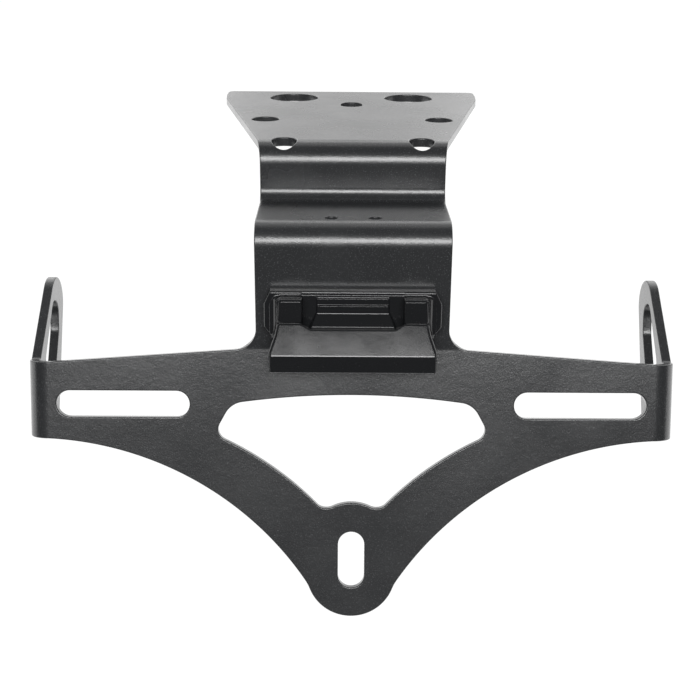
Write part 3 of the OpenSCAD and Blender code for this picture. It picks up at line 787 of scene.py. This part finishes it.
BLOCK_FRONT = sym([(10.8, -13), (10.8, -8.6), (9.2, -5.2), (9.2, 0)])
RIM = sym([(20, -13), (20, -7.2), (13.4, -7.2), (10.7, -8.6)])
RIM_FRONT = -7.6
POCKET_HALF, POCKET_BACK, POCKET_LOW = 13, -4, -9.7
LEDGE, LEDGE_HALF = -16.9, 19.45   # where the lens lies in the hood's mouth
CHAMBER_HALF = 18.45
CHAMBER = [(-8.2, -11.2), (-10.2, -15.3), (-10.2, LEDGE), (-3.0, LEDGE), (-3.0, -11.2)]


def housing(x, y, z):
    """Signed distance from the lamp's housing.

    z is zero at the lamp's top edge, and y is zero at the stem's front face.
    """
    across = np.abs(x)
    flange = both_in(poly_sdf(x, z, FLANGE), slab(y, -4.0, -0.8), 0.55)
    body = both_in(poly_sdf(y, z, HOOD_SIDE), poly_sdf(x, z, HOOD_FRONT), 0.7)
    cheek = both_in(poly_sdf(across, y, CHEEK), slab(z, -11.5, -1.3), 0.5)
    cheek = np.maximum(cheek, round_box(across, z + 7.6, 21.2, 6.4, 2.4))
    d = either(flange, body, 0.5)
    d = either(d, cheek, 0.5)
    pocket = np.maximum(np.maximum(across - POCKET_HALF, y - POCKET_BACK), POCKET_LOW - z)
    block = both_in(poly_sdf(y, z, BLOCK_SIDE), poly_sdf(x, z, BLOCK_FRONT), 0.3)
    rim = both_in(y - RIM_FRONT, poly_sdf(x, z, RIM), 0.25)
    d = cut(d, pocket, 0.4)
    d = either(d, block, 0.35)
    d = np.minimum(d, both_in(body, rim, 0.3))
    chamber = both_in(poly_sdf(y, z, CHAMBER), across - CHAMBER_HALF, 0.1)
    mouth = np.maximum(np.maximum(across - LEDGE_HALF, slab(y, -10.2, -2.4)), slab(z, -21, LEDGE))
    d = np.maximum(d, -chamber)
    return np.maximum(d, -mouth)


def surface(f, lo, hi, step):
    """A closed mesh where f is zero, with one vertex in each cell that it crosses."""
    ax = [np.arange(l, h + step, step) for l, h in zip(lo, hi)]
    X, Y, Z = np.meshgrid(*ax, indexing="ij")
    F = f(X, Y, Z)
    N = F.shape
    acc = np.zeros((N[0] - 1, N[1] - 1, N[2] - 1, 3))
    cnt = np.zeros((N[0] - 1, N[1] - 1, N[2] - 1))
    S = F < 0
    quads = []
    grid = [X, Y, Z]
    cross = []
    for d in range(3):
        o = [slice(None)] * 3
        o[d] = slice(0, -1)
        p = [slice(None)] * 3
        p[d] = slice(1, None)
        a, b = F[tuple(o)], F[tuple(p)]
        ch = S[tuple(o)] != S[tuple(p)]
        with np.errstate(divide="ignore", invalid="ignore"):
            t = np.where(ch, a / (a - b), 0)
        P = np.stack([g[tuple(o)] for g in grid], -1).astype(float)
        P[..., d] += t * step
        e = [k for k in range(3) if k != d]
        for i in (0, 1):
            for j in (0, 1):
                src = [slice(None)] * 3
                for k, w in ((e[0], i), (e[1], j)):
                    src[k] = slice(w, N[k] - 1 + w)
                c = ch[tuple(src)]
                acc += P[tuple(src)] * c[..., None]
                cnt += c
        cross.append((d, e, ch, S[tuple(o)]))
    on = cnt > 0
    index = np.full(on.shape, -1)
    index[on] = np.arange(on.sum())
    V = acc[on] / cnt[on][:, None]
    for d, e, ch, s in cross:
        I = np.argwhere(ch)
        ok = [(I[:, k] > 0) & (I[:, k] < N[k] - 1) for k in e]
        I = I[ok[0] & ok[1]]
        q = []
        for i, j in ((0, 0), (1, 0), (1, 1), (0, 1)):
            K = I.copy()
            K[:, e[0]] -= 1 - i
            K[:, e[1]] -= 1 - j
            q.append(index[K[:, 0], K[:, 1], K[:, 2]])
        q = np.stack(q, 1)
        out = s[I[:, 0], I[:, 1], I[:, 2]]
        if d == 1:
            out = ~out
        q[~out] = q[~out][:, ::-1]
        quads.append(q)
    Qd = np.vstack(quads)

    def grad(p, e=0.03):
        g = np.zeros_like(p)
        for k in range(3):
            dp = np.zeros(3)
            dp[k] = e
            a, b = p + dp, p - dp
            g[:, k] = f(a[:, 0], a[:, 1], a[:, 2]) - f(b[:, 0], b[:, 1], b[:, 2])
        return g / (2 * e)

    for _ in range(2):
        g = grad(V)
        v = f(V[:, 0], V[:, 1], V[:, 2])
        k = np.maximum(0.5, (g * g).sum(1))
        V -= np.clip(v / k, -step / 2, step / 2)[:, None] * g
    return V, grad(V, 0.05), [tuple(int(t) for t in r) for r in Qd]


V, G, quads = surface(housing, (-23.2, -12.3, -20.0), (23.2, -0.4, 0.4), 0.24)
V = V + np.array([0, -OY, LZ])
lamp = make("lamp_shell", V, G, quads, BLACK)
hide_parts("lamp_housing")


# --------------------------------------------------- the pieces left as built
FINISH = {
    "lamp_gasket": RUBBER, "cable_gland": RUBBER, "lamp_lens": LENS, "led_tray": TRAY,
    "led_board": BOARD, "led_left": LED, "led_middle": LED, "led_right": LED,
    "board_screw_left": ZINC, "board_screw_right": ZINC,
    "stud_left": ZINC, "stud_right": ZINC, "washer_left": ZINC, "washer_right": ZINC,
    "spring_washer_left": SPRING, "spring_washer_right": SPRING, "nut_left": ZINC, "nut_right": ZINC,
}
for name, m in FINISH.items():
    ob = nodes[name]
    ob.data.materials.clear()
    ob.data.materials.append(m)
    bv = ob.modifiers.new("edge", "BEVEL")
    bv.width = 0.00012
    bv.segments = 2
    bv.limit_method = "ANGLE"
    bv.angle_limit = math.radians(40)


# ---------------------------------------------------- floor, lights and camera
FLOOR_Z = -0.215
FLOOR_COLOUR = (0.82, 0.82, 0.82)
# the floor glows: how much of its look that is, and how bright, to the camera and in reflections
CAMERA_SHARE, CAMERA_GLOW = 0.9, 1.09
MIRROR_SHARE, MIRROR_GLOW = 0.85, 1.8
WORLD_DARK, WORLD_BRIGHT = 0.06, 1.05
AIM = Vector((0, -0.04, -0.05))    # where the lights point


def maths(nt, operation, *sources):
    """A math node; each source is a socket or a number."""
    n = nt.nodes.new("ShaderNodeMath")
    n.operation = operation
    for i, source in enumerate(sources):
        if isinstance(source, float):
            n.inputs[i].default_value = source
        else:
            nt.links.new(source, n.inputs[i])
    return n.outputs[0]


def floor_pale():
    """Pale, and near white to the camera and in reflections."""
    m, nt, b = material("floor_pale")
    nt.nodes.remove(b)
    diffuse = node(nt, "BsdfDiffuse", {"Color": (*FLOOR_COLOUR, 1)})
    glow = nt.nodes.new("ShaderNodeEmission")
    path = nt.nodes.new("ShaderNodeLightPath")
    mix = nt.nodes.new("ShaderNodeMixShader")
    seen, mirrored = path.outputs["Is Camera Ray"], path.outputs["Is Glossy Ray"]
    share, strength = mix.inputs["Fac"], glow.inputs["Strength"]
    for target, at_camera, in_mirror in (
        (share, CAMERA_SHARE, MIRROR_SHARE), (strength, CAMERA_GLOW, MIRROR_GLOW),
    ):
        first = maths(nt, "MULTIPLY", seen, at_camera)
        nt.links.new(maths(nt, "MULTIPLY_ADD", mirrored, in_mirror, first), target)
    nt.links.new(diffuse.outputs[0], mix.inputs[1])
    nt.links.new(glow.outputs[0], mix.inputs[2])
    nt.links.new(mix.outputs[0], nt.nodes["Material Output"].inputs["Surface"])
    return m


mesh = bpy.data.meshes.new("floor")
corners = [(-3, -0.16, FLOOR_Z), (3, -0.16, FLOOR_Z), (3, 5, FLOOR_Z), (-3, 5, FLOOR_Z)]
mesh.from_pydata(corners, [], [(0, 1, 2, 3)])
mesh.materials.append(floor_pale())
ob = bpy.data.objects.new("floor", mesh)
scene.collection.objects.link(ob)

world = bpy.data.worlds.new("studio")
scene.world = world
world.use_nodes = True
wn = world.node_tree
bg = wn.nodes["Background"]
bg.inputs["Color"].default_value = (1, 1, 1, 1)
# a fixed studio: bright behind the object, dark in front of it, and white to the camera
co = wn.nodes.new("ShaderNodeTexCoord")
sep = wn.nodes.new("ShaderNodeSeparateXYZ")
wn.links.new(co.outputs["Generated"], sep.inputs[0])
behind = ramp(wn, sep.outputs["Y"], 0.02, 0.25, WORLD_DARK, WORLD_BRIGHT)
camera_ray = wn.nodes.new("ShaderNodeLightPath").outputs["Is Camera Ray"]
wn.links.new(maths(wn, "MAXIMUM", camera_ray, behind), bg.inputs["Strength"])


def softbox(name, azimuth, elevation, distance, width, height, radiance):
    """An area light that faces the object. Azimuth 0 is the camera's side."""
    L = bpy.data.lights.new(name, "AREA")
    L.shape = "RECTANGLE"
    L.size, L.size_y = width, height
    L.energy = radiance * math.pi * width * height
    ob = bpy.data.objects.new(name, L)
    a, e = math.radians(azimuth), math.radians(elevation)
    d = Vector((math.sin(a) * math.cos(e), -math.cos(a) * math.cos(e), math.sin(e)))
    ob.location = AIM + d * distance
    ob.rotation_mode = "QUATERNION"
    ob.rotation_quaternion = d.to_track_quat("Z", "Y")
    ob.visible_camera = False
    scene.collection.objects.link(ob)


softbox("key", 0, 24, 1.5, 1.3, 0.48, 13.6)
softbox("back_left", 158, 34, 1.6, 0.9, 1.2, 1.3)
softbox("back_right", -158, 34, 1.6, 0.9, 1.2, 1.3)

# the camera was fitted to the photograph
FOCAL_PX, PHOTO_PX = 1213.107, 700
YAW, PITCH, ROLL = math.radians(0.5112), math.radians(20.455), math.radians(0.4969)
EYE = (-0.0032905, -0.3638309, 0.0621641)
cam = bpy.data.cameras.new("camera")
cam.sensor_width = 36
cam.lens = cam.sensor_width * FOCAL_PX / PHOTO_PX
cam.clip_start, cam.clip_end = 0.01, 50
eye = bpy.data.objects.new("camera", cam)
scene.collection.objects.link(eye)
fwd = Vector((math.sin(YAW) * math.cos(PITCH), math.cos(YAW) * math.cos(PITCH), -math.sin(PITCH)))
right = Vector((math.cos(YAW), -math.sin(YAW), 0))
up = right.cross(fwd)
rolled_right = right * math.cos(ROLL) + up * math.sin(ROLL)
rolled_up = -right * math.sin(ROLL) + up * math.cos(ROLL)
pose = Matrix((rolled_right, rolled_up, -fwd)).transposed().to_4x4()
pose.translation = Vector(EYE)
eye.matrix_world = pose
scene.camera = eye
scene.view_settings.view_transform = "Standard"
